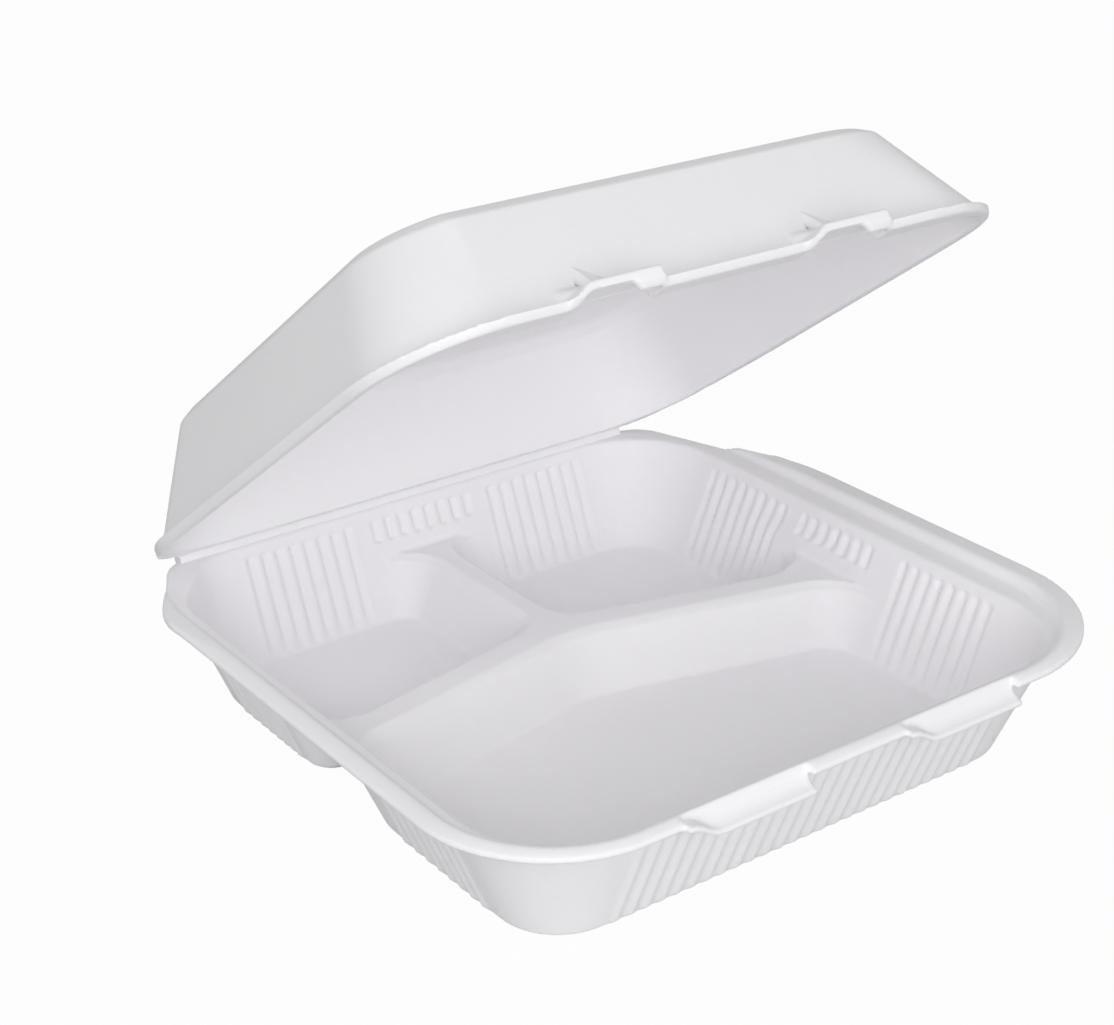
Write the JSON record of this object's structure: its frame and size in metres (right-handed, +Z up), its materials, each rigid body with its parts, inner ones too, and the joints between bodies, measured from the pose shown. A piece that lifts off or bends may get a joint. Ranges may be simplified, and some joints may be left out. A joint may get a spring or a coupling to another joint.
{
  "type": "foam clamshell container",
  "caption": "Hinged-lid foam takeaway container: a fluted tray divided into wells, and a domed lid with snap locks along its front edge, standing part open.",
  "frame": {"origin": "on the underside of the tray, below the middle of the tub and midway between the front edge of the flange and the hinge", "axes": "+Z up, +Y towards the hinge, +X to the right as seen from the front"},
  "size_m": [0.235, 0.2351, 0.1816],
  "materials": {
    "foam_tray": "matte",
    "foam_lid": "matte"
  },
  "bodies": {
    "tray": {"base_tray": "foam_tray"},
    "lid": {"lid": "foam_lid"}
  },
  "joints": [
    {"name": "lid_hinge", "type": "hinge", "parent": "tray", "child": "lid", "pos_m": [0, 0.1118, 0.0384], "axis": [-1, 0, 0], "range_deg": [-35.7, 137.3]}
  ]
}
